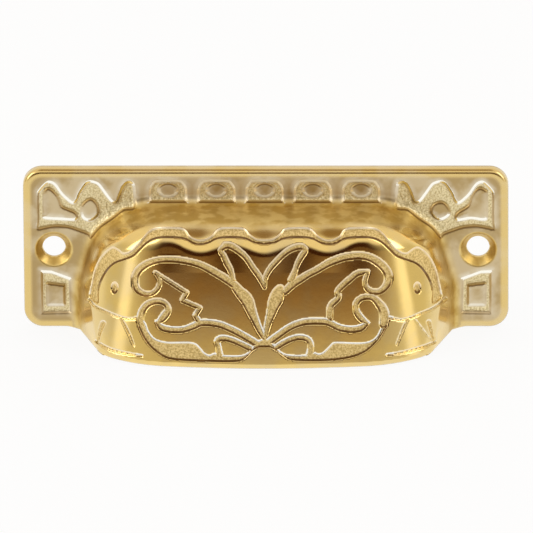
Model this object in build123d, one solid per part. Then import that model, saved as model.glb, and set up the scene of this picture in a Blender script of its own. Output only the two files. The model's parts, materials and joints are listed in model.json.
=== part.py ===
from build123d import *
import os
from math import asin, cos, radians, sin, tan

# Cast brass bin pull. Sizes are in millimetres and degrees. +Z is up, the hood
# stands out towards -Y, and the origin is midway between the two screw holes,
# on the flat back of the plate.

# Back plate
plate_width = 101.6
plate_height = 35.6
plate_thickness = 2.8
plate_corner = 4.0
edge_bevel = 0.9

# Screw holes, countersunk from the front
screw_spacing = 88.9
screw_height = 17.7  # above the lower edge
hole_diameter = 4.8
countersink_diameter = 7.6
countersink_angle = 82

# Hood: sides that draw in towards the front, and two round upper corners
hood_width = 79.8
hood_height = 28.2
hood_corner = 17.0
side_draft = 18.5
root_bevel = 1.3
wall = 2.1

# Front of the hood: a shallow bow with rounder ends, leaning back
hood_projection = 23.75
front_slope = 16.0
bow_radius = 170.0
bow_half_width = 21.0
end_radius = 24.0
ridge_round = 6.5

# Carving, a shallow recess with a flat floor
carving_depth = 0.5
drawing_tilt = 22.0  # the hood's pattern is drawn on a plane that leans back
scroll_width = 1.3
leaf_width = 1.1
border = 2.1
block_pitch = 10.1
block_width = 8.0
block_corner = 2.4
panel_width = 6.4
panel_foot = 3.0  # above the plate's lower edge
island_width = 3.1
island_share = 0.45  # of a recess's height

# Derived positions
bottom = -screw_height
face = -plate_thickness
plate_top = bottom + plate_height
hood_top = bottom + hood_height
overlap = 0.5


def front_body(inset, low):
    """Everything behind the hood's front, inset mm inside it, from level low up."""
    lean = radians(front_slope)
    drawn_in = inset / cos(lean) + (low - bottom) * tan(lean)
    bow = bow_radius - drawn_in
    end = end_radius - drawn_in
    front = face - hood_projection + drawn_in
    start = asin(bow_half_width / bow_radius)
    finish = radians(78)
    bow_x = bow * sin(start)
    bow_y = front + bow * (1 - cos(start))
    centre_x = bow_x - end * sin(start)
    centre_y = bow_y + end * cos(start)

    def end_point(angle):
        return centre_x + end * sin(angle), centre_y - end * cos(angle)

    middle_x, middle_y = end_point((start + finish) / 2)
    end_x, end_y = end_point(finish)
    side_x = end_x + hood_corner * cos(finish)
    side_y = end_y + hood_corner * sin(finish)
    with BuildSketch(Plane.XY.offset(low)) as plan:
        with BuildLine():
            ThreePointArc((-bow_x, bow_y), (0, front), (bow_x, bow_y))
            ThreePointArc((bow_x, bow_y), (middle_x, middle_y), (end_x, end_y))
            Polyline((end_x, end_y), (side_x, side_y), (side_x, side_y + overlap + wall))
            Line((side_x, side_y + overlap + wall), (-side_x, side_y + overlap + wall))
            Polyline((-side_x, side_y + overlap + wall), (-side_x, side_y), (-end_x, end_y))
            ThreePointArc((-end_x, end_y), (-middle_x, middle_y), (-bow_x, bow_y))
        make_face()
    return extrude(plan.sketch, hood_height + wall, taper=front_slope)


def side_block(inset, low, back):
    """Wedge between the hood's drafted sides, with its two round upper corners."""
    draft = radians(side_draft)
    far = face - hood_projection - wall

    def half_width(y):
        return hood_width / 2 - (face - y) * tan(draft) - inset / cos(draft)

    with BuildSketch(Plane.XY.offset(low)) as plan:
        with BuildLine():
            Polyline(
                (half_width(back), back),
                (-half_width(back), back),
                (-half_width(far), far),
                (half_width(far), far),
                close=True,
            )
        make_face()
    block = extrude(plan.sketch, hood_top - inset - low)
    top = block.faces().sort_by(Axis.Z)[-1]
    slanted = [e for e in top.edges() if abs((e % 0.5).Y) > 0.5]
    return fillet(slanted, hood_corner - inset)


def lies_on(point, faces):
    return any(f.distance_to(point) < 1e-3 for f in faces)


def outer_hood():
    """The hood as a solid block with its ridge rounded."""
    front = front_body(0, bottom)
    form = side_block(0, bottom, -overlap) & front
    front_faces = [f for f in front.faces() if f.geom_type == GeomType.CONE]
    side_faces = [f for f in form.faces() if not lies_on(f.center(), front_faces)]
    ridge = [
        e
        for e in form.edges()
        if (e @ 0.5).Z > bottom + overlap
        and lies_on(e @ 0.5, front_faces)
        and lies_on(e @ 0.5, side_faces)
    ]
    return fillet(ridge, ridge_round)


def cavity():
    """Space inside the hood, open below and through the back."""
    low = bottom - overlap
    return side_block(wall, low, overlap) & front_body(wall, low)


def blank(hood):
    """Plate and hood as one block, bevelled at the root and round the outer edge."""
    outline = RectangleRounded(plate_width, plate_height, plate_corner)
    plate = Plane.XZ * Pos(0, (bottom + plate_top) / 2, 0) * extrude(outline, plate_thickness)
    rim = plate.faces().sort_by(Axis.Y)[0].outer_wire()
    body = plate + hood
    root = [e for e in body.edges() if is_level(e, face) and rim.distance_to(e @ 0.5) > 0.01]
    body = chamfer(root, root_bevel)
    plate_edge = [e for e in body.edges() if is_level(e, face) and rim.distance_to(e @ 0.5) < 0.01]
    lip = [
        e
        for e in body.edges()
        if max(abs((e @ t).Z - bottom) for t in (0, 0.5, 1)) < 1e-3 and (e @ 0.5).Y < face - 1e-3
    ]
    return chamfer(plate_edge + lip, edge_bevel)


def is_level(edge, y):
    """True for an edge that stays on the plane at the given y."""
    return max(abs((edge @ t).Y - y) for t in (0, 0.5, 1)) < 1e-3


def screw_hole(x):
    """Countersunk clearance hole, from the front through the back."""
    depth = (countersink_diameter - hole_diameter) / 2 / tan(radians(countersink_angle / 2))
    front = Plane(origin=(x, face, 0), x_dir=(1, 0, 0), z_dir=(0, -1, 0))
    bore = front * Pos(0, 0, face) * Cylinder(hole_diameter / 2, 4 * plate_thickness)
    sink = front * Pos(0, 0, -depth / 2) * Cone(hole_diameter / 2, countersink_diameter / 2, depth)
    return bore + sink


def groove(width, start, heading, *ends):
    """Band of even width along a run of tangent arcs through the given points."""
    arcs = []
    tangent = (cos(radians(heading)), sin(radians(heading)))
    for end in ends:
        arcs.append(TangentArc(start, end, tangent=tangent))
        tangent = arcs[-1] % 1
        start = end
    return trace(Curve() + arcs, line_width=width)


def scroll():
    """Stem that rises from the centre leaf and curls in at its end."""
    stem = (11.3, 12.1), (18.9, 14.3), (23.6, 13.6), (27.1, 10.3)
    curl = (25.1, 7.15), (22.3, 8.4), (22.5, 11.4)
    return groove(scroll_width, (5.5, 8.2), 41, *stem, *curl)


def lower_scroll():
    """Stem below the large leaf, with the hook that it turns up into."""
    stem = (19.3, -0.4), (14.9, 0.4), (12.6, 1.05), (9.7, 0.75), (1.3, -3.4)
    hook = (20.3, 3.7), (22.1, 5.6), (25.5, 3.7), (25.9, 0.6)
    return groove(scroll_width, (22.5, 1.2), -135, *stem) + groove(scroll_width, (22.5, 1.0), 136, *hook)


def stepped_edge():
    """Toothed edge of the large leaf between the two scrolls."""
    teeth = Polyline((22.8, 11.5), (16.3, 7.35), (17.2, 5.75), (13.5, 4.2), (14.5, 2.6), (13.5, 0.95))
    return make_face(offset(teeth, leaf_width / 2, side=Side.BOTH, kind=Kind.INTERSECTION).edges())


def centre_leaf():
    """Half of the pointed leaf pair in the middle, with the drop below it."""
    inner = groove(leaf_width, (0, 8.4), 62, (3.4, 13.8), (8.0, 17.2))
    outer = groove(leaf_width, (7.9, 17.3), -25, (9.0, 16.0), (6.6, 10.0))
    with BuildSketch() as drop:
        with BuildLine():
            ThreePointArc((6.9, 8.4), (4.4, 4.2), (0, -3.2))
            Line((0, -3.2), (0, -1.7))
            ThreePointArc((0, -1.7), (1.5, 2.2), (2.3, 5.2))
            ThreePointArc((2.3, 5.2), (3.3, 7.7), (5.4, 8.9))
            Line((5.4, 8.9), (6.9, 8.4))
        make_face()
    return inner + outer + drop.sketch


def lower_band():
    """Broad band along the foot of the front, with the small leaf on it."""
    leaf = groove(leaf_width, (9.5, -5.6), 80, (9.8, -3.0), (8.6, -2.1), (3.1, -4.2))
    with BuildSketch() as band:
        with BuildLine():
            ThreePointArc((26.5, 0.6), (24.4, -3.4), (19.8, -6.3))
            Polyline((19.8, -6.3), (15.0, -6.8), (5.2, -6.8), (2.4, -4.8), (0, -3.9), (0, -2.3))
            Polyline((0, -2.3), (1.6, -2.95), (3.2, -4.9), (5.6, -5.75), (10.2, -5.5), (11.8, -5.6))
            Polyline((11.8, -5.6), (14.3, -3.1), (20.4, -3.0))
            ThreePointArc((20.4, -3.0), (23.6, -1.7), (25.1, 1.2))
            Line((25.1, 1.2), (26.5, 0.6))
        make_face()
    return leaf + band.sketch


def hood_carving():
    """Tool for the hood's pattern: the drawn outlines, down to the recess's floor."""
    half = scroll() + lower_scroll() + stepped_edge() + centre_leaf() + lower_band()
    drawing = half + mirror(half, about=Plane.YZ)
    tilt = radians(drawing_tilt)
    sheet = Plane(origin=(0, face, bottom), x_dir=(1, 0, 0), z_dir=(0, -cos(tilt), sin(tilt)))
    cutter = extrude(sheet.offset(wall) * drawing, hood_projection + hood_height, dir=sheet.z_dir)
    floor_top = hood_top - carving_depth
    floor = split(front_body(carving_depth, bottom - overlap), Plane.XY.offset(floor_top), keep=Keep.BOTTOM)
    top = floor.faces().sort_by(Axis.Z)[-1]
    front = [e for e in top.edges() if e.geom_type == GeomType.CIRCLE]
    return cutter - fillet(front, ridge_round - carving_depth)


def block(x):
    """Round-topped block of the row above the hood, with its raised island. The lower half
    of its outline is behind the hood."""
    top = plate_top - border
    foot = hood_top - block_width / 2
    outline = Pos(x, foot) * RectangleRounded(block_width, 2 * (top - foot), block_corner)
    island_height = island_share * (top - hood_top)
    island = Pos(x, (top + hood_top) / 2) * Rectangle(island_width, island_height)
    return outline - island


def corner_leaf():
    """Recess in an upper corner of the plate, between the border and the hood."""
    right = plate_width / 2 - border - overlap
    top = plate_top - border
    with BuildSketch() as leaf:
        with BuildLine():
            Polyline((right, top - 11.4), (right, top - 3))
            RadiusArc((right, top - 3), (right - 3, top), -3)
            Polyline((right - 3, top), (right - 8, top - 5.6), (right - 10, top - 1.2))
            ThreePointArc((right - 10, top - 1.2), (right - 11.6, top), (right - 13.2, top - 1.2))
            Polyline((right - 13.2, top - 1.2), (right - 16.2, top - 5.2), (right - 17.6, top - 1.4))
            ThreePointArc((right - 17.6, top - 1.4), (right - 19.2, top - 0.2), (right - 21, top - 1.2))
            Polyline((right - 21, top - 1.2), (right - 21, top - 12), (right - 10.8, top - 12.6))
            Polyline((right - 10.8, top - 12.6), (right - 6.6, top - 11), (right, top - 11.4))
        make_face()
    return leaf.sketch


def side_panel():
    """Recess below a screw hole, with its raised island. Its top slopes down to the hood."""
    right = plate_width / 2 - border - overlap
    left = right - panel_width
    low = bottom + panel_foot
    high = -countersink_diameter / 2 - border / 2
    outline = Polyline((right, low), (right, high), (left, high - 0.7 * border), (left, low), close=True)
    island_height = island_share * (high - low)
    island = Pos((left + right) / 2, (low + high) / 2) * Rectangle(island_width, island_height)
    return make_face(outline.edges()) - island


def plate_carving(hood):
    """Tool for the plate's pattern, kept clear of the hood."""
    half = corner_leaf() + side_panel()
    drawing = half + mirror(half, about=Plane.YZ)
    for i in range(-2, 3):
        drawing += block(i * block_pitch)
    sheet = Plane(origin=(0, face, 0), x_dir=(1, 0, 0), z_dir=(0, -1, 0))
    return extrude(sheet * drawing, carving_depth, dir=(0, 1, 0)) - hood


hood = outer_hood()
pull = blank(hood) - cavity()
for side in (-1, 1):
    pull -= screw_hole(side * screw_spacing / 2)
pull -= hood_carving()
pull -= plate_carving(hood)

os.makedirs("parts", exist_ok=True)
export_step(pull.solid(), "parts/bin_pull.step")
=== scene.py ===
import json
import math
import bpy
import numpy as np
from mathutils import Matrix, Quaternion, Vector


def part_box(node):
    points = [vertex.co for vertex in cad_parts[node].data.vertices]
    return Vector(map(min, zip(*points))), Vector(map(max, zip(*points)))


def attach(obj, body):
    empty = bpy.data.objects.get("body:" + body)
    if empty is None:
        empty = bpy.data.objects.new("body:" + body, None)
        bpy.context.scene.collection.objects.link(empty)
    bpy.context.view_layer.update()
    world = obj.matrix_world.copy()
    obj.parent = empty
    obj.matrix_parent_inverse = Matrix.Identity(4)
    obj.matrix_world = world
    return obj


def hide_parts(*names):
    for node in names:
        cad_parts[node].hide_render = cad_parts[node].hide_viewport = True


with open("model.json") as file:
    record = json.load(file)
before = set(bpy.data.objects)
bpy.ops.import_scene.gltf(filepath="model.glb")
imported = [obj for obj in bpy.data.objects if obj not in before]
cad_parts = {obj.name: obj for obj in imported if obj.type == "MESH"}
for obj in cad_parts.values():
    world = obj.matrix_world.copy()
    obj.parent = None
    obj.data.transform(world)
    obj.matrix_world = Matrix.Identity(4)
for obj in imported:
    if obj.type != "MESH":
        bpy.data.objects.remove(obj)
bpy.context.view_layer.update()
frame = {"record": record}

# Sizes of the casting in millimetres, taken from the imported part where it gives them.
# +Z is up, the hood stands out towards -Y, and the back of the plate is at y = 0.
MM = 0.001
lowest, highest = (np.array(corner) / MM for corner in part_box("bin_pull"))
bottom = lowest[2]

# Back plate with its countersunk screw holes
plate_top = highest[2]
plate_half = highest[0]
plate_thickness = 2.8
plate_corner = 4.0
edge_round = 1.1
back_easing = 0.3  # width of the softened edge at the back
screw_holes = next(m for m in frame["record"]["mounts"] if m["name"] == "screw_holes")
hole_x = screw_holes["dims"]["spacing_x_mm"] / 2
hole_radius = screw_holes["dims"]["hole_r_mm"]
hole_easing = 0.25  # and at the holes and the opening
sink_radius = 3.8
sink_slope = math.radians(41)
face = -plate_thickness

# Hood: drafted sides, round upper corners, and a bowed front that leans back
hood_half = 39.9
hood_top = 10.5
hood_height = hood_top - bottom
hood_corner = 17.0
hood_projection = 23.75
side_draft = math.radians(18.5)
front_slope = math.radians(16)
front_belly = 0.3
bow_radius = 170.0
bow_half = 21.0
end_radius = 24.0
end_sweep = math.radians(78)
ridge_round = 6.5
lip_round = 1.0
root_round = 2.0
wall = 2.1
inner_easing = 1.0  # width of the softened edges inside
front = face - hood_projection

# Swing of the ridge with its scallops, and where it ends on the drawing plane
scallop_pitch = 13.4
scallop_swing = 0.85
scallop_half = 24.5
scallop_low = 11.5
scallop_high = 22.5

# The pattern is drawn on a plane that leans back, like the view of the photograph:
# across is +X and up is measured from the plate's lower edge.
drawing_tilt = math.radians(22)
across = np.array((1.0, 0.0, 0.0))
upward = np.array((0.0, math.sin(drawing_tilt), math.cos(drawing_tilt)))
towards = np.array((0.0, -math.cos(drawing_tilt), math.sin(drawing_tilt)))
foot = np.array((0.0, face, bottom))

# Recesses of the pattern, with the widths of their sloping walls
groove_depth = 0.5
groove_wall = 0.9
hood_groove_wall = 0.52
wall_lead = 0.06  # share of a wall that lies outside the drawn outline
hood_end = 25.0  # grooves that start further out are narrower than drawn
end_groove_share = 0.7

# Steps of the mesh and of the rays that find the skin
PITCH = 0.25
SNAP = 0.4 * PITCH  # how far a node may move onto a recess's wall
PATCH = 3  # cells along each side of a coarse face on the back
FLATNESS = 0.02
DRAWN_SPAN = -9.6, 34.8  # up the drawing plane
RAY_SPAN = -4.0, 25.0  # out from it
RAY_STEP = 0.4
THIRDS = 10
HALVINGS = 14
NUDGE = 0.01  # step for measuring slopes
OUTLINE_LEVEL = -0.006  # just inside the skin, where the front and the back meet
REACH = 1.6  # distances to the pattern are cut off here


# Camera and framing

def add_camera():
    """Camera at the photograph's angle, far off with a long lens, rolled so that the plate's
    upper edge is level in the picture."""
    turn, rise, roll = math.radians(1), drawing_tilt, math.radians(-0.37)
    distance, frame_width, film_width = 3.4, 0.1119, 36
    aim_up, aim_right = 0.01284, 0.0001
    view = Vector((math.sin(turn) * math.cos(rise), -math.cos(turn) * math.cos(rise), math.sin(rise)))
    right = Vector((math.cos(turn), math.sin(turn), 0))
    up = right.cross(-view)
    aim = Vector((0, face * MM, bottom * MM)) + up * aim_up + right * aim_right
    camera = bpy.data.objects.new("camera", bpy.data.cameras.new("camera"))
    bpy.context.collection.objects.link(camera)
    camera.location = aim + view * distance
    facing = (-view).to_track_quat("-Z", "Y") @ Quaternion((0, 0, 1), roll)
    camera.rotation_euler = facing.to_euler()
    camera.data.sensor_width = film_width
    camera.data.lens = film_width * distance / frame_width
    bpy.context.scene.camera = camera


# Outlines of the sunk pattern: points are (across, up, width) in millimetres

LEFT_GROOVES = [
    [(0.0, 8.5, 0.9), (-1.2, 10.8, 1.2), (-2.5, 12.6, 1.2), (-3.9, 14.7, 1.2), (-5.4, 16.1, 1.3),
     (-7.0, 17.1, 1.4), (-8.2, 17.3, 1.3)],
    [(-8.0, 17.3, 1.3), (-9.2, 16.2, 1.0), (-8.6, 15.1, 1.2), (-7.9, 13.5, 1.3), (-7.2, 12.2, 1.2),
     (-6.6, 10.0, 1.0)],
    [(-5.5, 8.2, 1.6), (-7.0, 9.5, 1.6), (-9.0, 10.8, 1.6), (-11.3, 12.1, 1.5), (-13.5, 13.2, 1.4),
     (-16.1, 13.9, 1.3), (-19.0, 14.3, 1.3), (-21.9, 14.2, 1.3), (-24.3, 13.5, 1.4),
     (-26.2, 12.2, 1.5), (-27.1, 10.4, 1.5), (-26.8, 8.3, 1.4), (-25.3, 7.2, 1.2), (-23.6, 7.2, 1.0),
     (-22.3, 8.3, 1.0), (-21.9, 9.9, 1.0), (-22.5, 11.2, 0.8)],
    [(-6.2, 8.4, 1.5), (-5.0, 7.3, 2.3), (-3.7, 5.8, 2.6), (-3.0, 4.1, 2.2), (-2.1, 1.9, 1.7),
     (-1.0, -0.6, 1.3), (0.2, -2.6, 0.9)],
    [(-22.6, 1.3, 0.7), (-21.5, 0.1, 1.3), (-19.2, -0.4, 1.3), (-16.8, -0.3, 1.3), (-14.8, 0.4, 1.4),
     (-13.0, 1.1, 1.4), (-9.7, 0.8, 1.4), (-6.7, -0.4, 1.4), (-3.9, -1.9, 1.4), (-1.6, -3.3, 1.4)],
    [(-22.4, 1.0, 0.8), (-21.1, 2.3, 1.6), (-20.2, 3.7, 1.4), (-20.7, 5.0, 1.2), (-22.2, 5.6, 1.2),
     (-24.2, 5.1, 1.3), (-25.5, 3.7, 1.4), (-26.0, 1.9, 1.5), (-25.8, 0.5, 1.5)],
    [(-9.5, -5.6, 1.5), (-9.7, -4.0, 1.2), (-9.9, -2.7, 1.2), (-8.8, -2.1, 1.2), (-6.9, -2.5, 1.2),
     (-5.0, -3.3, 1.2), (-3.1, -4.2, 1.3)],
    [(-36.9, 5.9, 0.9), (-35.7, 4.6, 0.8), (-33.0, 3.3, 0.8), (-30.1, 2.2, 0.8), (-28.0, 1.9, 0.8),
     (-26.3, 2.2, 1.0)],
    [(-30.1, 2.0, 0.7), (-29.0, 0.1, 0.8), (-28.1, -1.8, 0.8), (-27.4, -3.6, 0.6)],
    [(-33.9, 0.9, 1.8), (-34.5, -0.7, 1.4), (-35.0, -3.0, 0.7)],
    [(-35.5, -2.8, 0.8), (-32.6, -4.4, 1.0), (-29.2, -5.3, 1.0), (-25.7, -5.8, 0.7)],
]
LEFT_TEETH = [(-22.8, 11.5, 0.9), (-16.3, 7.35, 1.0), (-17.2, 5.75, 1.0), (-13.5, 4.2, 1.0),
              (-14.5, 2.6, 1.0), (-13.5, 0.95, 1.2)]
RIGHT_GROOVES = [
    [(0.0, 8.7, 0.9), (0.2, 10.5, 1.0), (1.0, 12.1, 1.1), (2.4, 13.8, 1.2), (4.1, 15.5, 1.2),
     (5.6, 16.5, 1.3), (7.2, 17.0, 1.3), (8.1, 16.8, 1.2)],
    [(7.9, 17.0, 1.2), (8.5, 16.2, 1.2), (7.7, 14.9, 1.2), (7.0, 13.6, 1.1), (6.5, 12.3, 1.0),
     (6.1, 11.1, 1.3), (5.6, 9.9, 1.5)],
    [(4.3, 7.6, 1.4), (5.0, 8.3, 1.5), (6.2, 9.4, 1.6), (7.7, 10.3, 1.5), (9.3, 11.3, 1.4),
     (10.9, 12.1, 1.4), (13.1, 13.4, 1.5), (14.9, 14.2, 1.6), (16.8, 14.8, 1.6), (19.5, 15.1, 1.6),
     (21.6, 14.8, 1.6), (23.4, 13.9, 1.7), (25.0, 12.5, 1.7), (25.8, 10.9, 1.7), (25.6, 9.3, 1.6),
     (24.6, 8.0, 1.3), (23.3, 7.5, 1.2), (21.9, 7.8, 1.2), (21.1, 8.7, 1.0), (21.0, 10.0, 1.0),
     (21.5, 11.7, 1.0)],
    [(3.3, 8.3, 1.5), (2.9, 7.4, 2.5), (2.4, 6.0, 2.9), (1.8, 4.5, 2.4), (1.3, 2.8, 1.9),
     (0.8, 1.2, 1.5), (0.4, -0.4, 1.2), (0.0, -2.4, 0.9)],
    [(0.9, -2.9, 1.4), (3.0, -1.4, 1.4), (5.0, 0.0, 1.4), (6.7, 0.8, 1.4), (8.6, 1.3, 1.4),
     (11.1, 1.4, 1.4), (13.1, 1.2, 1.4), (15.2, 0.2, 1.4), (16.7, -0.2, 1.4), (18.4, -0.3, 1.4),
     (20.1, 0.0, 1.4), (21.5, 1.0, 0.8)],
    [(21.5, 0.9, 0.8), (20.2, 1.9, 1.4), (19.3, 3.1, 1.4), (19.0, 4.2, 1.3), (19.2, 5.3, 1.3),
     (20.1, 6.2, 1.2), (21.4, 6.5, 1.2), (22.7, 6.2, 1.3), (23.8, 5.1, 1.6), (24.7, 3.8, 1.9),
     (25.0, 2.4, 2.0), (24.8, 0.8, 1.8)],
    [(2.4, -4.1, 1.2), (4.1, -3.0, 1.2), (6.2, -2.1, 1.2), (8.0, -2.0, 1.2), (9.3, -2.7, 1.2),
     (9.6, -4.1, 1.3), (9.4, -5.6, 1.5)],
    [(26.0, 2.2, 1.0), (27.1, 1.9, 0.8), (28.6, 1.7, 0.8), (30.6, 2.2, 0.8), (32.4, 3.0, 0.8),
     (34.8, 4.0, 0.8), (36.5, 5.1, 0.9), (37.7, 6.2, 0.9)],
    [(29.8, 1.9, 0.7), (28.7, -0.5, 0.8), (27.5, -3.5, 0.6)],
    [(31.4, 1.7, 0.4), (32.9, -0.3, 0.5), (34.6, -2.5, 0.4)],
    [(34.2, 1.2, 1.5), (34.7, -0.7, 1.3), (35.2, -2.9, 0.8)],
    [(25.5, -5.6, 0.7), (27.8, -5.3, 0.9), (30.5, -4.7, 1.0), (33.5, -3.8, 1.0), (35.5, -2.9, 0.8)],
]
RIGHT_TEETH = [(21.4, 11.8, 0.9), (19.4, 11.4, 1.2), (17.7, 10.1, 1.3), (16.1, 8.7, 1.3),
               (15.2, 7.5, 1.2), (15.4, 6.3, 1.2), (13.8, 4.6, 1.3), (13.6, 2.2, 1.4)]
LEFT_BAND = [
    (-26.7, 1.8), (-26.3, -0.1), (-25.3, -2.2), (-23.9, -4.0), (-22.2, -5.4), (-20.3, -6.4),
    (-17.4, -6.8), (-12.5, -7.0), (-7.7, -7.1), (-5.0, -6.9), (-3.6, -6.0), (-2.5, -4.8),
    (-1.2, -4.1), (0.5, -3.9), (0.5, -2.2), (-1.6, -2.9), (-3.1, -4.8), (-4.3, -5.6), (-6.0, -5.8),
    (-9.0, -5.7), (-10.5, -5.3), (-11.6, -5.7), (-12.6, -5.2), (-13.5, -4.2), (-14.3, -3.4),
    (-15.7, -3.0), (-17.8, -3.0), (-20.3, -3.0), (-22.2, -2.6), (-23.4, -1.9), (-24.4, -0.5),
    (-25.1, 1.2),
]
RIGHT_BAND = [
    (25.4, 1.4), (25.2, -0.1), (23.8, -2.4), (22.1, -4.2), (20.3, -5.4), (17.5, -6.3), (13.7, -6.8),
    (9.5, -6.9), (5.5, -6.7), (3.9, -5.9), (2.6, -4.9), (1.2, -4.1), (-0.5, -3.9), (-0.5, -2.2),
    (1.3, -2.9), (2.7, -4.4), (4.1, -5.4), (6.4, -5.7), (8.7, -5.6), (10.2, -5.1), (11.2, -5.4),
    (12.2, -5.1), (13.4, -4.0), (14.3, -3.1), (15.7, -3.0), (17.9, -3.1), (20.4, -3.1), (22.2, -2.7),
    (23.5, -1.6), (24.3, 0.0),
]
RIDGE_WAVE = [
    (0.6, 18.3), (-1.6, 18.5), (-3.1, 19.5), (-4.0, 20.6), (-5.2, 20.9), (-7.0, 21.0), (-9.0, 20.9),
    (-10.1, 20.3), (-11.3, 19.0), (-13.4, 18.3), (-15.5, 19.0), (-16.5, 20.4), (-17.8, 20.9),
    (-20.3, 21.0), (-22.6, 20.9), (-24.1, 20.2), (-25.3, 18.9), (-26.6, 17.3), (-28.1, 16.0),
    (-29.5, 15.6), (-30.7, 16.4), (-31.9, 16.9), (-33.3, 16.0), (-34.7, 14.3), (-35.7, 12.1),
    (-36.2, 9.9), (-36.6, 8.1), (-36.8, 6.2), (-34.9, 5.1), (-34.8, 7.7), (-34.1, 10.0),
    (-32.8, 12.1), (-31.3, 13.4), (-29.4, 14.1), (-27.4, 14.9), (-26.0, 16.2), (-24.5, 17.6),
    (-22.8, 18.5), (-20.3, 18.8), (-16.9, 18.5), (-15.1, 17.6), (-13.4, 17.3), (-11.7, 17.6),
    (-9.8, 18.5), (-7.0, 18.8), (-4.1, 18.5), (-2.2, 17.7), (0.6, 17.4),
]
CORNER_LEAF = [
    (-48.0, 20.5), (-47.9, 22.8), (-47.9, 27.7), (-47.3, 29.1), (-45.9, 30.5), (-45.0, 30.7),
    (-43.9, 30.1), (-42.6, 28.3), (-41.5, 27.2), (-40.4, 26.4), (-39.8, 26.9), (-39.2, 28.3),
    (-38.0, 30.1), (-37.2, 30.7), (-36.4, 30.8), (-35.6, 30.6), (-34.7, 30.1), (-33.3, 28.2),
    (-32.1, 26.7), (-31.4, 26.5), (-30.9, 27.6), (-30.2, 29.4), (-29.4, 30.4), (-28.6, 30.7),
    (-27.7, 30.4), (-27.3, 29.4), (-27.2, 25.0), (-29.6, 24.4), (-32.0, 22.6), (-34.6, 20.8),
    (-36.6, 18.6), (-37.4, 19.4), (-39.2, 20.1), (-41.4, 20.8), (-44.0, 21.0), (-46.1, 20.7),
]
LEFT_ISLANDS = [
    [(-45.4, 28.8), (-43.9, 27.4), (-43.0, 25.2), (-41.4, 24.4), (-40.1, 23.8), (-40.0, 22.9),
     (-42.5, 23.0), (-46.0, 23.2), (-46.2, 23.6), (-46.2, 25.6), (-46.1, 28.0)],
    [(-36.7, 26.6), (-35.5, 25.4), (-35.4, 23.8), (-36.7, 22.8), (-38.1, 23.3), (-38.2, 25.3)],
]
RIGHT_ISLANDS = [
    [(44.6, 28.8), (45.8, 28.5), (46.0, 27.5), (46.0, 23.6), (45.6, 22.9), (42.9, 23.2), (40.2, 22.8),
     (40.5, 23.9), (42.7, 25.3), (43.6, 27.6)],
    [(34.9, 24.1), (35.3, 25.4), (36.6, 26.0), (37.6, 25.4), (38.2, 23.9), (36.3, 22.9)],
]
SIDE_PANEL = [(-47.3, 2.8), (-47.3, 12.0), (-45.0, 11.9), (-40.9, 10.4), (-40.7, 3.0)]
SIDE_ISLAND = [(-45.7, 5.0), (-45.7, 9.0), (-42.6, 8.6), (-42.6, 5.0)]
BLOCK_PLACES = np.arange(-2, 3) * 10.1 - 0.2
BLOCK_HALF, BLOCK_FOOT, BLOCK_TOP = 4.0, 26.1, 30.9

# Ovals: across, up, half width, half height and middle radius
BLOCK_OVALS = [(x, 28.8, 1.6, 1.1, 1.2) for x in BLOCK_PLACES]
EYES = [(-31.4, 8.3, 0.75, 1.25, 0.9), (31.8, 8.3, 0.75, 1.25, 0.9)]


# Distances on the drawing plane, negative inside

def smooth_path(points, steps=8):
    """Catmull-Rom curve through the points: each span is the cubic whose end slopes are half
    the chord between the neighbours."""
    p = np.array(points, float)
    q = np.vstack([2 * p[0] - p[1], p, 2 * p[-1] - p[-2]])
    t = np.linspace(0, 1, steps, endpoint=False)[:, None, None]
    a, b, c, d = (q[i:len(q) - 3 + i][None] for i in range(4))
    square, cube = 2 * a - 5 * b + 4 * c - d, 3 * b - a - 3 * c + d
    spans = 0.5 * (2 * b + (c - a) * t + square * t**2 + cube * t**3)
    return np.vstack([spans.transpose(1, 0, 2).reshape(-1, p.shape[1]), p[-1:]])


def points_near(u, v, corners, margin):
    """Indices of the points within a margin of the box round the corners, and the points."""
    low, high = corners[:, :2].min(0) - margin, corners[:, :2].max(0) + margin
    near = np.nonzero((u > low[0]) & (u < high[0]) & (v > low[1]) & (v < high[1]))
    return near, u[near][:, None], v[near][:, None]


def nearest_on(pu, pv, start, step):
    """How far along each straight piece its nearest point to each given point lies, as a share
    of the piece, and the distance to it."""
    length2 = step[:, 0] ** 2 + step[:, 1] ** 2 + 1e-12
    along = ((pu - start[:, 0]) * step[:, 0] + (pv - start[:, 1]) * step[:, 1]) / length2
    along = np.clip(along, 0, 1)
    gap = np.hypot(pu - start[:, 0] - along * step[:, 0], pv - start[:, 1] - along * step[:, 1])
    return along, gap


def groove_distance(u, v, path):
    """Distance to a band whose half width changes evenly along each straight piece of a path:
    the distance to the nearest piece less the half width there."""
    result = np.full(u.shape, REACH)
    near, pu, pv = points_near(u, v, path, REACH + path[:, 2].max())
    if not len(near[0]):
        return result
    start, step = path[:-1], np.diff(path, axis=0)
    along, gap = nearest_on(pu, pv, start, step)
    result[near] = np.minimum(REACH, (gap - (start[:, 2] + along * step[:, 2]) / 2).min(1))
    return result


def outline_distance(u, v, outline):
    """Signed distance to a closed outline: the distance to its nearest side, negative where a
    level line from the point crosses the outline an odd number of times."""
    start = np.array(outline, float)
    end = np.roll(start, -1, axis=0)
    step = end - start
    result = np.full(u.shape, REACH)
    near, pu, pv = points_near(u, v, start, REACH)
    gap = nearest_on(pu, pv, start, step)[1].min(1)
    spans = (start[:, 1] > pv) != (end[:, 1] > pv)
    rise = np.where(np.abs(step[:, 1]) < 1e-9, 1e-9, step[:, 1])
    crossing = spans & (pu < start[:, 0] + (pv - start[:, 1]) / rise * step[:, 0])
    inside = crossing.sum(1) % 2 == 1
    result[near] = np.minimum(REACH, np.where(inside, -gap, gap))
    return result


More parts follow.
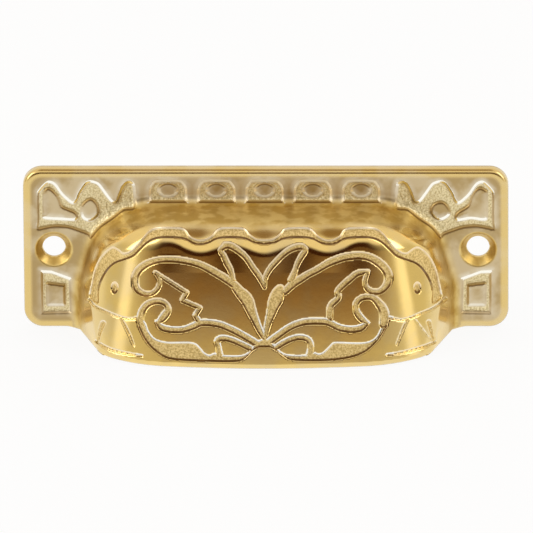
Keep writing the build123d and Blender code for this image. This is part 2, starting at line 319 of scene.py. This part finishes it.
def oval_distance(u, v, oval):
    """Distance to an oval, near enough beside it: how many times further from its middle the
    point lies than the edge, less one, times its middle radius."""
    middle_u, middle_v, half_u, half_v, radius = oval
    return (np.hypot((u - middle_u) / half_u, (v - middle_v) / half_v) - 1) * radius


def rounded(outline, steps=4):
    """Closed Catmull-Rom curve through the points of an outline."""
    p = list(outline)
    return smooth_path([p[-1]] + p + [p[0], p[1]], steps)[steps:-steps - 1]


def mirrored(points):
    """The same points on the other side, with the sign of across turned."""
    return [(-p[0],) + tuple(p[1:]) for p in points]


def block_outline(x):
    """Round-topped block of the row above the hood: a rectangle with cut corners, which are
    larger at the top and come out round once the curve runs through them."""
    left, right = x - BLOCK_HALF, x + BLOCK_HALF
    return [
        (left, BLOCK_FOOT + 0.2), (left, BLOCK_TOP - 2.0), (left + 0.6, BLOCK_TOP - 0.7),
        (left + 1.8, BLOCK_TOP), (right - 1.8, BLOCK_TOP),
        (right - 0.6, BLOCK_TOP - 0.7), (right, BLOCK_TOP - 2.0), (right, BLOCK_FOOT + 0.2),
        (right - 0.2, BLOCK_FOOT), (left + 0.2, BLOCK_FOOT),
    ]


def pattern_distance(u, v):
    """Signed distance to the whole sunk pattern: the least of all grooves and outlines, and
    no less than the distance into each raised island. Distances on the hood are stretched, so
    that the recess walls there are steeper."""
    paths = [smooth_path(groove) for groove in LEFT_GROOVES + RIGHT_GROOVES]
    for path in paths:
        if abs(path[0, 0]) > hood_end:
            path[:, 2] *= end_groove_share
    paths += [np.array(LEFT_TEETH), smooth_path(RIGHT_TEETH)]
    bands = [rounded(band) for band in (LEFT_BAND, RIGHT_BAND, RIDGE_WAVE, mirrored(RIDGE_WAVE))]
    on_hood = [groove_distance(u, v, path) for path in paths]
    on_hood += [outline_distance(u, v, band) for band in bands]
    on_hood += [oval_distance(u, v, eye) for eye in EYES]
    stretch = groove_wall / hood_groove_wall
    hood_sunk = np.clip(np.min(on_hood, axis=0) * stretch, -REACH, REACH)
    recesses = [rounded(CORNER_LEAF), rounded(mirrored(CORNER_LEAF)), SIDE_PANEL, mirrored(SIDE_PANEL)]
    recesses += [rounded(block_outline(x)) for x in BLOCK_PLACES]
    sunk = np.min([outline_distance(u, v, recess) for recess in recesses], axis=0)
    islands = [SIDE_ISLAND, mirrored(SIDE_ISLAND)]
    islands += [rounded(island) for island in LEFT_ISLANDS + RIGHT_ISLANDS]
    on_recess = [outline_distance(u, v, island) for island in islands]
    on_recess += [oval_distance(u, v, oval) for oval in BLOCK_OVALS]
    raised = np.min(on_recess, axis=0)
    return np.minimum(np.maximum(sunk, -raised), hood_sunk)


def sunk_share(distance):
    """How far down the recess a point lies, from 0 on the surface to 1 on the floor: the mean
    of a straight slope and a smooth step over the wall's width, from a little outside the
    drawn outline inwards."""
    t = np.clip(wall_lead - distance / groove_wall, 0, 1)
    return (t + t * t * (3 - 2 * t)) / 2


def faded(value, start, full):
    """0 at the start, 1 at full and beyond it, and straight in between. Full may be the lower
    of the two."""
    return np.clip((value - start) / (full - start), 0, 1)


# The casting as a field of distances in space, negative inside

def round_meet(a, b, cosine, radius):
    """Distance to where two surfaces meet under a round of the radius: with both distances
    taken from the round's centre line and split along the two normals, the distance to that
    line where both shares are positive, and elsewhere the larger of the two."""
    qa, qb = a + radius, b + radius
    cosine = np.clip(cosine, -0.99, 0.985)
    sine2 = 1 - cosine**2
    both = (qa > cosine * qb) & (qb > cosine * qa)
    arc = np.sqrt(np.maximum((qa**2 + qb**2 - 2 * qa * qb * cosine) / sine2, 0))
    return np.where(both, arc, np.maximum(qa, qb)) - radius


def soft_max(a, b, width):
    """Larger of two distances. Where they differ by less than the width, the square of what
    is missing from it, over four times the width, is added to ease the edge."""
    h = np.maximum(width - np.abs(a - b), 0) / width
    return np.maximum(a, b) + h * h * width / 4


def front_field(x, y, z):
    """Distance outside the hood's front and its normal. In plan the front is a bow with
    rounder ends that run on straight. It leans back by the front slope as it rises, and swells
    by a low parabola halfway up."""
    start, finish = math.asin(bow_half / bow_radius), end_sweep
    bow_y = front + bow_radius
    end_x = (bow_radius - end_radius) * math.sin(start)
    end_y = bow_y - (bow_radius - end_radius) * math.cos(start)
    side = np.sign(x)
    a, b = np.abs(x) - end_x, end_y - y
    angle = np.arctan2(a, b)
    bow = np.hypot(x, bow_y - y)
    end = np.hypot(a, b)
    in_bow, past = angle < start, angle > finish
    plan = np.where(in_bow, bow - bow_radius, end - end_radius)
    plan = np.where(past, a * math.sin(finish) + b * math.cos(finish) - end_radius, plan)
    nx = np.where(in_bow, x / bow, side * np.where(past, math.sin(finish), a / np.maximum(end, 1e-6)))
    ny = np.where(in_bow, (y - bow_y) / bow, -np.where(past, math.cos(finish), b / np.maximum(end, 1e-6)))
    lean = math.cos(front_slope)
    height = z - bottom
    belly = front_belly * height * (hood_height - height) / (hood_height / 2) ** 2
    distance = (plan + height * math.tan(front_slope)) * lean - belly
    return distance, nx * lean, ny * lean, math.sin(front_slope)


def cap_field(x, y, z, inset):
    """Distance outside the hood's drafted sides and level top, and its normal. They meet in a
    round corner, where it is the distance to the corner's centre line less the radius."""
    side = (np.abs(x) - hood_half + (face - y) * math.tan(side_draft)) * math.cos(side_draft) + inset
    top = z - hood_top + inset
    radius = hood_corner - inset
    qs, qt = np.maximum(side + radius, 0), np.maximum(top + radius, 0)
    arc = np.hypot(qs, qt)
    corner = (qs > 0) & (qt > 0)
    distance = np.where(corner, arc, np.maximum(side, top) + radius) - radius
    share_s = np.where(corner, qs / np.maximum(arc, 1e-6), side > top)
    share_t = np.where(corner, qt / np.maximum(arc, 1e-6), side <= top)
    nx = share_s * np.sign(x) * math.cos(side_draft)
    ny = -share_s * math.sin(side_draft)
    return distance, nx, ny, share_t


def waved(x, y, z):
    """Points moved up or down the drawing plane where the ridge swings with its scallops: a
    cosine along the ridge, eased out at its ends, above the groove and down the front."""
    v = (y - face) * upward[1] + (z - bottom) * upward[2]
    swing = -scallop_swing * np.cos(2 * math.pi * x / scallop_pitch)
    ends = faded(np.abs(x), scallop_half, scallop_half - 3)
    low = faded(v, scallop_low, scallop_low + 4)
    high = faded(v, scallop_high, scallop_high - 4)
    shift = swing * (ends * low * high)
    return x, y - shift * upward[1], z - shift * upward[2]


def hood_field(x, y, z):
    """Outer skin of the hood, with its ridge and lower lip rounded."""
    x, y, z = waved(x, y, z)
    df, fx, fy, fz = front_field(x, y, z)
    dc, cx, cy, cz = cap_field(x, y, z, 0.0)
    skin = round_meet(df, dc, fx * cx + fy * cy + fz * cz, ridge_round)
    lean = np.where(df > dc, fz, cz)
    return round_meet(skin, bottom - z, -lean, lip_round)


def rim_distance(x, z):
    """Distance outside the plate's outline, a rectangle with round corners: the distance to
    the smaller rectangle through the corners' centres, less their radius."""
    middle = (plate_top + bottom) / 2
    qx = np.abs(x) - plate_half + plate_corner
    qz = np.abs(z - middle) - (plate_top - bottom) / 2 + plate_corner
    outside = np.hypot(np.maximum(qx, 0), np.maximum(qz, 0))
    return outside + np.minimum(np.maximum(qx, qz), 0) - plate_corner


def plate_field(x, y, z):
    """The plate with its front edge rounded, without its back."""
    return round_meet(rim_distance(x, z), face - y, 0.0, edge_round)


def cove_join(a, b, radius):
    """Smaller of two distances, with a hollow round of the radius between the surfaces: where
    both are nearer than it, the radius less the distance to the round's centre line."""
    qa, qb = np.maximum(radius - a, 0), np.maximum(radius - b, 0)
    return np.where((qa > 0) & (qb > 0), radius - np.hypot(qa, qb), np.minimum(a, b))


def opening_field(x, y, z):
    """Distance outside the finger space, the screw holes and their countersinks: the least of
    the hood's own form a wall's thickness in, a cylinder, and a cone that stops widening a
    little in front of the plate."""
    df = front_field(x, y, z)[0] + wall
    dc = cap_field(x, y, z, wall)[0]
    space = soft_max(df, dc, inner_easing)
    radial = np.hypot(np.abs(x) - hole_x, z)
    depth = np.maximum(y - face, -edge_round)
    sink = (radial - sink_radius + depth * math.tan(sink_slope)) * math.cos(sink_slope)
    return np.minimum(space, np.minimum(radial - hole_radius, sink))


def casting_field(x, y, z, sunk):
    """The whole casting, its front skin lowered by the sunk depth, cut flat at the back and
    less the openings."""
    skin = cove_join(hood_field(x, y, z), plate_field(x, y, z), root_round) + sunk
    skin = soft_max(np.maximum(skin, bottom - z), y, back_easing)
    return soft_max(skin, -opening_field(x, y, z), hole_easing)


# Skin of the casting: a front and a back sheet over the drawing plane, joined by a rim

def place(u, v, w):
    """Points at u across and v up the drawing plane, and w in front of it."""
    return tuple(foot[i] + across[i] * u + upward[i] * v + towards[i] * w for i in range(3))


def along_rays(u, v, sunk):
    """For rays square to the drawing plane: the two ends of the stretch between the first and
    the last crossing of the skin, and the least distance met, negative inside the outline.
    Even steps bracket all three. The least distance is then narrowed down by thirds, and each
    crossing by halves."""

    def gap_at(w):
        return casting_field(*place(u, v, w), sunk)

    levels = np.arange(*RAY_SPAN, RAY_STEP)
    gaps = np.stack([gap_at(w) for w in levels])
    low = np.clip(gaps.argmin(0), 1, len(levels) - 2)
    left, right = levels[low - 1], levels[low + 1]
    for _ in range(THIRDS):
        third = (right - left) / 3
        first, second = left + third, right - third
        nearer = gap_at(first) < gap_at(second)
        left, right = np.where(nearer, left, first), np.where(nearer, second, right)
    deepest = (left + right) / 2
    least = gap_at(deepest)
    inside = gaps < 0
    some = inside.any(0)
    ends = []
    for way in (1, -1):
        last = len(levels) - 1 - inside[::-1].argmax(0) if way > 0 else inside.argmax(0)
        solid = np.where(some, levels[last], deepest)
        empty = solid + way * RAY_STEP
        for _ in range(HALVINGS):
            middle = (solid + empty) / 2
            full = gap_at(middle) < 0
            solid, empty = np.where(full, middle, solid), np.where(full, empty, middle)
        ends.append(solid)
    return ends[0], ends[1], least


def cells_around(cells):
    """For each node of the grid, whether each of the four cells that meet there is covered."""
    padded = np.pad(cells, 1)
    rows, columns = cells.shape
    return np.stack([padded[i:i + rows + 1, j:j + columns + 1] for i in (0, 1) for j in (0, 1)])


def move_to_level(u, v, value_at, level):
    """Three Newton steps towards the level line of a value: what it lies above the level, over
    its squared slope, back along the slope. Weak slopes count as stronger, and long steps are
    cut short."""
    nudge, weakest, longest = 0.02, 0.3, 0.3
    for _ in range(3):
        here = value_at(u, v)
        du = (value_at(u + nudge, v) - value_at(u - nudge, v)) / (2 * nudge)
        dv = (value_at(u, v + nudge) - value_at(u, v - nudge)) / (2 * nudge)
        step = (here - level) / np.maximum(du**2 + dv**2, weakest)
        u = u - np.clip(step * du, -longest, longest)
        v = v - np.clip(step * dv, -longest, longest)
    return u, v


def skin_grid():
    """Grid over the drawing plane, with the cells that the casting covers: those where the
    least distance is negative on average. Nodes on the edge are moved onto the outline, and
    nodes close to the edges or the middle of a recess's wall onto those."""
    us = np.arange(-plate_half - 2 * PITCH, plate_half + 3 * PITCH, PITCH)
    u, v = np.meshgrid(us, np.arange(*DRAWN_SPAN, PITCH))
    least = along_rays(u, v, 0.0)[2]
    cells = (least[1:, 1:] + least[:-1, 1:] + least[1:, :-1] + least[:-1, :-1]) / 4 < 0
    around = cells_around(cells)
    edge = around.any(0) & ~around.all(0)
    moved = move_to_level(u[edge], v[edge], lambda a, b: along_rays(a, b, 0.0)[2], OUTLINE_LEVEL)
    u[edge], v[edge] = moved
    drawn = pattern_distance(u, v)
    slope_v, slope_u = np.gradient(drawn, PITCH)
    size2 = np.maximum(slope_u**2 + slope_v**2, 0.3)
    free = ~edge
    for level in (0.0, -groove_wall, -groove_wall / 2):
        off = drawn - level
        hit = free & (np.abs(off) < SNAP * np.sqrt(size2))
        u = np.where(hit, u - off * slope_u / size2, u)
        v = np.where(hit, v - off * slope_v / size2, v)
        free = free & ~hit
    return u, v, cells


def skin_normals(u, v, w, sunk, sunk_u, sunk_v):
    """Outward normals: the slope of the field by differences, with the recess's own slope."""
    sides = []
    for i in range(3):
        ends = []
        for step in (-NUDGE, NUDGE):
            q = list(place(u, v, w))
            q[i] = q[i] + step
            ends.append(casting_field(*q, sunk + step * (sunk_u * across[i] + sunk_v * upward[i])))
        sides.append(ends[1] - ends[0])
    normals = np.stack(sides, -1)
    return normals / np.maximum(np.linalg.norm(normals, axis=-1, keepdims=True), 1e-9)


def grid_faces(w, cells, number):
    """Two triangles for each covered cell, cut along the diagonal with the smaller step."""
    i, j = np.nonzero(cells)
    a, b, c, d = (i, j), (i, j + 1), (i + 1, j + 1), (i + 1, j)
    flat = np.abs(w[a] - w[c]) <= np.abs(w[b] - w[d])
    ids = np.stack([number[corner] for corner in (a, b, c, d)], 1)
    first = np.where(flat[:, None], ids[:, [0, 1, 2]], ids[:, [0, 1, 3]])
    second = np.where(flat[:, None], ids[:, [0, 2, 3]], ids[:, [1, 2, 3]])
    return np.concatenate([first, second])


def patch_faces(cells, number, w):
    """Back sheet: patches of PATCH by PATCH cells become one face each where their nodes lie
    within FLATNESS of the straight blend of the four corners. Such a face takes in the nodes
    between its corners where the next patch is cut finer, and the rest stay cells."""
    rows, columns = (n // PATCH * PATCH for n in cells.shape)
    whole = cells[:rows, :columns].reshape(rows // PATCH, PATCH, columns // PATCH, PATCH).all((1, 3))
    step = np.arange(PATCH + 1)
    i, j = (PATCH * np.arange(n // PATCH) for n in (rows, columns))
    nodes = w[i[:, None, None, None] + step[:, None], j[:, None, None] + step]
    share = step / PATCH
    edges = nodes[..., :1] * (1 - share) + nodes[..., -1:] * share
    blend = edges[:, :, :1] * (1 - share[:, None]) + edges[:, :, -1:] * share[:, None]
    whole &= (np.abs(nodes - blend) < FLATNESS).all((2, 3))
    ring = np.pad(whole, 1)
    i, j = np.nonzero(whole)
    sides = [ring[i, j + 1], ring[i + 1, j + 2], ring[i + 2, j + 1], ring[i + 1, j]]
    steps = np.arange(PATCH)
    far = PATCH * np.ones(PATCH, int)
    rise = np.concatenate([0 * steps, steps, far, far - steps])
    run = np.concatenate([steps, far, far - steps, 0 * steps])
    ids = number[i[:, None] * PATCH + rise, j[:, None] * PATCH + run]
    between = np.tile(steps > 0, 4)
    coarse = np.repeat(np.stack(sides, 1), PATCH, axis=1)
    keep = ~(between & coarse)
    fine = cells.copy()
    fine[:rows, :columns] &= ~np.repeat(np.repeat(whole, PATCH, 0), PATCH, 1)
    i, j = np.nonzero(fine)
    cell = np.stack([number[i, j], number[i, j + 1], number[i + 1, j + 1], number[i + 1, j]], 1)
    loops = np.concatenate([ids[:, ::-1][keep[:, ::-1]], cell[:, ::-1].ravel()])
    counts = np.concatenate([keep.sum(1), np.full(len(cell), 4)])
    return loops, counts


def rim_faces(cells, front_number, back_number):
    """Closes the gap between the sheets: one face for each cell side with nothing beyond."""
    ring = np.pad(cells, 1)
    faces = []
    for di, dj, start, end in ((-1, 0, (0, 0), (0, 1)), (0, 1, (0, 1), (1, 1)),
                               (1, 0, (1, 1), (1, 0)), (0, -1, (1, 0), (0, 0))):
        beyond = ring[1 + di:1 + di + cells.shape[0], 1 + dj:1 + dj + cells.shape[1]]
        i, j = np.nonzero(cells & ~beyond)
        a, b = (i + start[0], j + start[1]), (i + end[0], j + end[1])
        faces.append(np.stack([front_number[b], front_number[a], back_number[a], back_number[b]], 1))
    return np.concatenate(faces)


def buffed_share(x, y, z):
    """1 where the wheel has bright-polished the casting: on the hood's front, fading out from
    1.5 to 4 mm behind it, and less on the plate's rim and in the countersinks."""
    hood = faded(front_field(x, y, z)[0], -4, -1.5) * faded(face - y, 3, 7)
    rim = faded(rim_distance(x, z), -1.9, -1.3)
    on_plate = (y > face - 0.3) * (y < -0.3)
    return np.maximum(hood, np.maximum(0.7 * rim, 0.4 * sink_share(x, z)) * on_plate)


def sink_share(x, z):
    """1 within the countersinks' radius, fading out over 0.3 mm round them."""
    return faded(np.hypot(np.abs(x) - hole_x, z), sink_radius + 0.3, sink_radius)


def satin_share(x, y, z):
    """1 on the hood's top and sides behind its polished front, fading out 1.5 mm below the
    skin, and in the countersinks."""
    cap = faded(cap_field(x, y, z, 0.0)[0], -1.5, 0) * faded(face - y, 0, 1)
    return np.maximum(cap * (1 - buffed_share(x, y, z)), sink_share(x, z) * (y < -0.3))


def wall_shares(u, v, drawn, above):
    """Two shares from the distance to the pattern, and from it a nudge higher up. The first is
    1 on walls that face down and -1 on those that face up, and weaker at the feet of the
    hood's ends; it places the painted highlight and painted shade on the walls. The second,
    the mask of a painted pale highlight round the recesses, is 1 at the recesses and fades out
    over 1.1 mm beside them, weaker towards the plate's ends and next to walls that face up."""
    overhang = np.clip((above - drawn) / NUDGE, -1, 1)
    overhang = np.where((np.abs(u) > 26.8) & (v < 7), 0.2 * overhang, overhang)
    strength = np.where(np.abs(u) < 27, 0.8, 0.35) + overhang
    return overhang, faded(drawn, 1.1, 0) * np.clip(strength, 0, 1)


def make_casting():
    """The finished casting as one closed mesh: a front sheet of triangles, a coarser back
    sheet, and the rim between them. Each point keeps the shares that the finish needs."""
    u, v, cells = skin_grid()
    used = cells_around(cells).any(0)
    pu, pv = u[used], v[used]
    nudges = (0, 0), (NUDGE, 0), (0, NUDGE)
    drawn, beside, above = (pattern_distance(pu + a, pv + b) for a, b in nudges)
    share = sunk_share(drawn)
    sunk = share * groove_depth
    slopes = [(sunk_share(d) - share) / NUDGE * groove_depth for d in (beside, above)]
    front_w, back_w, _ = along_rays(pu, pv, sunk)
    points = np.concatenate([np.stack(place(pu, pv, w), 1) for w in (front_w, back_w)])
    front_normals = skin_normals(pu, pv, front_w, sunk, *slopes)
    back_normals = skin_normals(pu, pv, back_w, sunk, 0.0, 0.0)

    number = np.full(u.shape, -1)
    number[used] = np.arange(len(pu))
    back_number = number + len(pu)
    front_grid, back_grid = np.zeros((2,) + u.shape)
    front_grid[used], back_grid[used] = front_w, back_w
    sheet = grid_faces(front_grid, cells, number)
    rim = rim_faces(cells, number, back_number)
    back_loops, back_counts = patch_faces(cells, back_number, back_grid)
    loops = np.concatenate([sheet.ravel(), rim.ravel(), back_loops])
    counts = np.concatenate([np.full(len(sheet), 3), np.full(len(rim), 4), back_counts])
    kept = np.zeros(len(points), bool)
    kept[loops] = True
    renumber = np.cumsum(kept) - 1
    mesh = mesh_from("bin_pull_casting", points[kept], renumber[loops], counts)

    # The second share masks a painted pale highlight beside the recesses
    overhang, painted_halo = wall_shares(pu, pv, drawn, above)
    front_and_back = {
        "carved": (share, 0.0), "overhang": (overhang, 0.0), "painted_halo": (painted_halo, 0.0), "edge": (drawn, REACH),
    }
    shares = {name: np.concatenate([ahead, np.full(len(pu), behind)])[kept]
              for name, (ahead, behind) in front_and_back.items()}
    shares["buffed"] = buffed_share(*points[kept].T)
    shares["satin"] = satin_share(*points[kept].T)
    for name, values in shares.items():
        attribute = mesh.attributes.new(name, "FLOAT", "POINT")
        attribute.data.foreach_set("value", values.astype(np.float32))
    normals = np.concatenate([front_normals, back_normals])[kept]
    mesh.normals_split_custom_set_from_vertices(normals)
    return mesh


def mesh_from(name, points, loops, counts):
    """Mesh in metres from points in millimetres and the corners of its faces."""
    mesh = bpy.data.meshes.new(name)
    mesh.vertices.add(len(points))
    mesh.vertices.foreach_set("co", (points * MM).astype(np.float32).ravel())
    mesh.loops.add(len(loops))
    mesh.loops.foreach_set("vertex_index", loops.astype(np.int32))
    mesh.polygons.add(len(counts))
    mesh.polygons.foreach_set("loop_start", (np.cumsum(counts) - counts).astype(np.int32))
    mesh.update(calc_edges=True)
    mesh.validate()
    mesh.shade_smooth()
    return mesh


# Finish

class Value:
    """A shader socket that can be used in sums, products and comparisons."""

    tree = None

    def __init__(self, socket):
        self.socket = socket

    @classmethod
    def node(cls, kind, inputs=(), out=0, **settings):
        """Adds a node, gives it its settings and then the values or links of its sockets."""
        made = cls.tree.nodes.new(kind)
        for name, setting in settings.items():
            setattr(made, name, setting)
        for key, value in dict(inputs).items():
            if isinstance(value, Value):
                cls.tree.links.new(value.socket, made.inputs[key])
            else:
                made.inputs[key].default_value = value
        return Value(made.outputs[out])

    def maths(self, operation, *others):
        """This value and the others, joined by one operation of the maths node."""
        values = dict(enumerate((self, *others)))
        return Value.node("ShaderNodeMath", values, operation=operation)

    def __add__(self, other):
        return self.maths("ADD", other)

    def __mul__(self, other):
        return self.maths("MULTIPLY", other)

    def __sub__(self, other):
        return self.maths("SUBTRACT", other)

    def __rsub__(self, other):
        return Value.node("ShaderNodeMath", {0: other, 1: self}, operation="SUBTRACT")

    __radd__ = __add__
    __rmul__ = __mul__

    def between(self, low, high):
        """0 at low and below, 1 at high and above, eased in between."""
        inputs = {"Value": self, "From Min": low, "From Max": high}
        return Value.node("ShaderNodeMapRange", inputs, interpolation_type="SMOOTHSTEP")


def mixed(share, first, second):
    """Colour that goes from the first to the second by a share."""
    first, second = (c if isinstance(c, Value) else (*c, 1) for c in (first, second))
    inputs = {0: share, 6: first, 7: second}
    return Value.node("ShaderNodeMix", inputs, out=2, data_type="RGBA")


def noise(place_in, scale, detail):
    """Cloudy noise from 0 to 1, with so many clouds to the metre."""
    inputs = {"Vector": place_in, "Scale": scale, "Detail": detail}
    return Value.node("ShaderNodeTexNoise", inputs)


def begin_material(name):
    """New material, to which the values that follow belong, and its shader."""
    material = bpy.data.materials.new(name)
    material.use_nodes = True
    Value.tree = material.node_tree
    shader = material.node_tree.nodes["Principled BSDF"]
    return material, shader


def link(value, node, socket):
    """Leads a value into a socket of a node."""
    Value.tree.links.new(value.socket, node.inputs[socket])


def brass_finish():
    """Cast brass, bright on the polished front, clouded elsewhere and granular on the floors
    of the recesses. The plate carries a painted pale highlight beside the recesses, their walls
    that face down carry a painted pale highlight and are smooth, and their walls that face up
    carry painted brown shade. Above the hood these painted pale parts are less metallic."""
    material, shader = begin_material("cast_brass")
    place_in = Value.node("ShaderNodeTexCoord", out=3)
    across_in, height_in = (Value.node("ShaderNodeSeparateXYZ", {0: place_in}, out=i) for i in (0, 2))
    shares = "carved", "buffed", "overhang", "painted_halo", "satin", "edge"
    carved, buffed, overhang, painted_halo, satin, edge = (
        Value.node("ShaderNodeAttribute", out=2, attribute_name=share) for share in shares
    )
    cloud, mottle, fine, grains = (
        noise(place_in, scale, detail)
        for scale, detail in ((140.0, 4.0), (320.0, 3.0), (900.0, 3.0), (2600.0, 2.0))
    )
    pits = {"Vector": place_in, "Scale": 1700.0, "Randomness": 0.9}
    stipple = Value.node("ShaderNodeTexVoronoi", pits)

    # Where things are: the plate above the hood, the floors and walls of the recesses, and the
    # line of painted highlight along each outline, wider on the polished front
    over_hood = height_in.between(0.010, 0.0112) * (1 - across_in.maths("ABSOLUTE").between(0.026, 0.029))
    floor = carved.between(0.55, 0.95)
    slope = carved.between(0.0, 0.15) * (1 - carved.between(0.8, 1.0))
    line = edge.between(-0.55, -0.35) * (1 - edge.between(0.02 + 0.15 * buffed, 0.14 + 0.2 * buffed))
    glint = line * overhang.between(0.0, 0.45)

    # Surface: dull on the plate and the hood's sides, and polished with faint clouds
    field = mixed(cloud.between(0.4, 0.6), (0.48, 0.34, 0.15), (0.66, 0.53, 0.32))
    # Painted highlight: the plate is paler beside the recesses, most beside walls that face down
    field = mixed(painted_halo * (0.2 + 0.45 * mottle.between(0.35, 0.6)), field, (0.95, 0.90, 0.76))
    blotched = mixed(mottle.between(0.4, 0.62), (0.62, 0.42, 0.11), (0.80, 0.61, 0.24))
    dull = mixed(satin, field, blotched)
    skin = mixed(buffed * (1 - 0.4 * cloud.between(0.38, 0.66)), dull, (0.88, 0.65, 0.245))

    # Floors: light and dark grains, paler where nothing is polished
    speckled = mixed(grains.between(0.35, 0.62), (0.64, 0.47, 0.18), (0.90, 0.73, 0.37))
    paler = mixed(grains.between(0.35, 0.62), (0.66, 0.54, 0.28), (0.94, 0.82, 0.52))
    bare = mixed(floor, skin, mixed(buffed, paler, speckled))

    # Walls: painted brown shade on those facing up, darkest on the polished front, and a painted pale
    # highlight on those facing down
    # Painted shade: brown on the walls that face up, golden-brown near the outline and dark further in
    painted_wall_shade_dull = mixed(edge.between(-0.5, -0.15), (0.56, 0.40, 0.16), (0.26, 0.15, 0.05))
    painted_wall_shade = mixed(buffed, painted_wall_shade_dull, (0.20, 0.11, 0.04))
    with_painted_wall_shade = mixed(slope * (0 - overhang).between(0.1, 0.8), bare, painted_wall_shade)
    # Painted highlight colour: near white on the plate; on the polished hood white low down and tan higher
    # up
    tan = mixed(height_in.between(-0.009, -0.003), (1.0, 0.97, 0.88), (0.98, 0.80, 0.52))
    painted_glint_colour = mixed(buffed, (1.0, 0.97, 0.86), tan)
    link(mixed(glint, with_painted_wall_shade, painted_glint_colour), shader, "Base Color")

    rough = cloud.between(0.3, 0.75) * 0.06 + 0.36 - buffed * 0.26 + satin * 0.08
    rough = rough * (1 - floor) + floor * (grains * 0.2 + 0.38 + 0.2 * buffed)
    link(rough * (1 - glint) + glint * (0.12 + 0.3 * buffed), shader, "Roughness")
    height = floor * (stipple * 0.9 + grains * 0.6) + fine * 0.03 + cloud * 0.05
    bump = Value.node("ShaderNodeBump", {"Strength": 0.6, "Distance": 0.00018, "Height": height})
    link(bump, shader, "Normal")
    # Where the painted highlight and painted pale halo lie above the hood, the metal is less metallic so
    # that their pale colour shows
    link(1 - over_hood * (0.85 * glint + 0.4 * painted_halo * (1 - glint)), shader, "Metallic")
    return material


# Surroundings

RAY_KINDS = "Is Camera Ray", "Is Glossy Ray"
SHADOW_FREE = 0.9  # share of the paper that the camera sees as plain white
PAPER_HALF = 1.2
PAPER_GAP = 0.02  # millimetres below the casting, so that the two don't touch


def paper_floor():
    """Level white paper under the pull. It is white in the brass, and to the camera as well,
    but for the part of its own shading that keeps a faint shadow."""
    corners = np.array([(-1, -1, 0), (1, -1, 0), (1, 1, 0), (-1, 1, 0)]) * PAPER_HALF / MM
    corners[:, 2] = bottom - PAPER_GAP
    mesh = mesh_from("paper_floor", corners, np.arange(4), np.array([4]))
    floor = bpy.data.objects.new("paper_floor", mesh)
    bpy.context.collection.objects.link(floor)
    material, shader = begin_material("white_paper")
    shader.inputs["Base Color"].default_value = (0.9, 0.9, 0.9, 1)
    shader.inputs["Roughness"].default_value = 0.9
    camera_ray, glossy_ray = (Value.node("ShaderNodeLightPath", out=name) for name in RAY_KINDS)
    seen = (camera_ray * SHADOW_FREE).maths("MAXIMUM", glossy_ray)
    glow = Value.node("ShaderNodeEmission", {"Color": (1, 1, 1, 1), "Strength": 1.0})
    both = Value.node("ShaderNodeMixShader", {0: seen, 1: Value(shader.outputs[0]), 2: glow})
    link(both, material.node_tree.nodes["Material Output"], 0)
    mesh.materials.append(material)


def add_lamp(name, place_at, size, power):
    """Soft rectangular lamp that points at the origin."""
    lamp = bpy.data.objects.new(name, bpy.data.lights.new(name, "AREA"))
    bpy.context.collection.objects.link(lamp)
    lamp.data.shape = "RECTANGLE"
    lamp.data.size, lamp.data.size_y = size
    lamp.data.energy = power
    lamp.location = place_at
    lamp.rotation_euler = (-Vector(place_at)).to_track_quat("-Z", "Y").to_euler()


def room_light():
    """World light by direction. Low down it is white behind and dull gold at the sides and
    ahead, with a strip brighter than white ahead of each side. Above it is cream, and brown
    round the zenith. A brown shadow on the viewer's side is darkest a little above the level
    of the pull. To the camera it is all white."""
    world = bpy.data.worlds.new("studio")
    bpy.context.scene.world = world
    world.use_nodes = True
    Value.tree = world.node_tree
    direction = Value.node("ShaderNodeTexCoord")
    x, y, z = (Value.node("ShaderNodeSeparateXYZ", {0: direction}, out=i) for i in range(3))
    level = (x * x + y * y).maths("POWER", 0.5)
    front_share = (0 - y).maths("DIVIDE", level)
    beside = front_share.between(-0.40, -0.15)
    strip = front_share.between(0.26, 0.38) * (1 - front_share.between(0.46, 0.62))
    low = mixed(beside, (0.96, 0.95, 0.93), (0.72, 0.67, 0.52))
    low = mixed(strip, low, (1.25, 1.22, 1.15))
    high = mixed(z.between(0.92, 0.985), (0.95, 0.89, 0.80), (0.32, 0.21, 0.10))
    room = mixed(z.between(0.3, 0.6), low, high)
    ahead = front_share.between(0.40, 0.97)
    shadow = ahead * z.between(0.06, 0.18) * (1 - z.between(0.46, 0.64))
    dark = mixed(z.between(0.15, 0.27), (0.30, 0.175, 0.08), (0.045, 0.013, 0.003))
    seen = Value.node("ShaderNodeLightPath")
    colour = mixed(seen, mixed(shadow, room, dark), (1, 1, 1))
    link(colour, world.node_tree.nodes["Background"], "Color")


bpy.context.scene.view_settings.view_transform = "Standard"
add_camera()
paper_floor()
room_light()
add_lamp("softbox_left", place_at=(-1.1, -0.5, 0.7), size=(0.6, 0.9), power=3.5)
add_lamp("softbox_right", place_at=(1.1, -0.4, 0.8), size=(0.5, 0.9), power=2.8)
pull = bpy.data.objects.new("bin_pull_casting", make_casting())
bpy.context.collection.objects.link(pull)
pull.data.materials.append(brass_finish())
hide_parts("bin_pull")
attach(pull, "root")
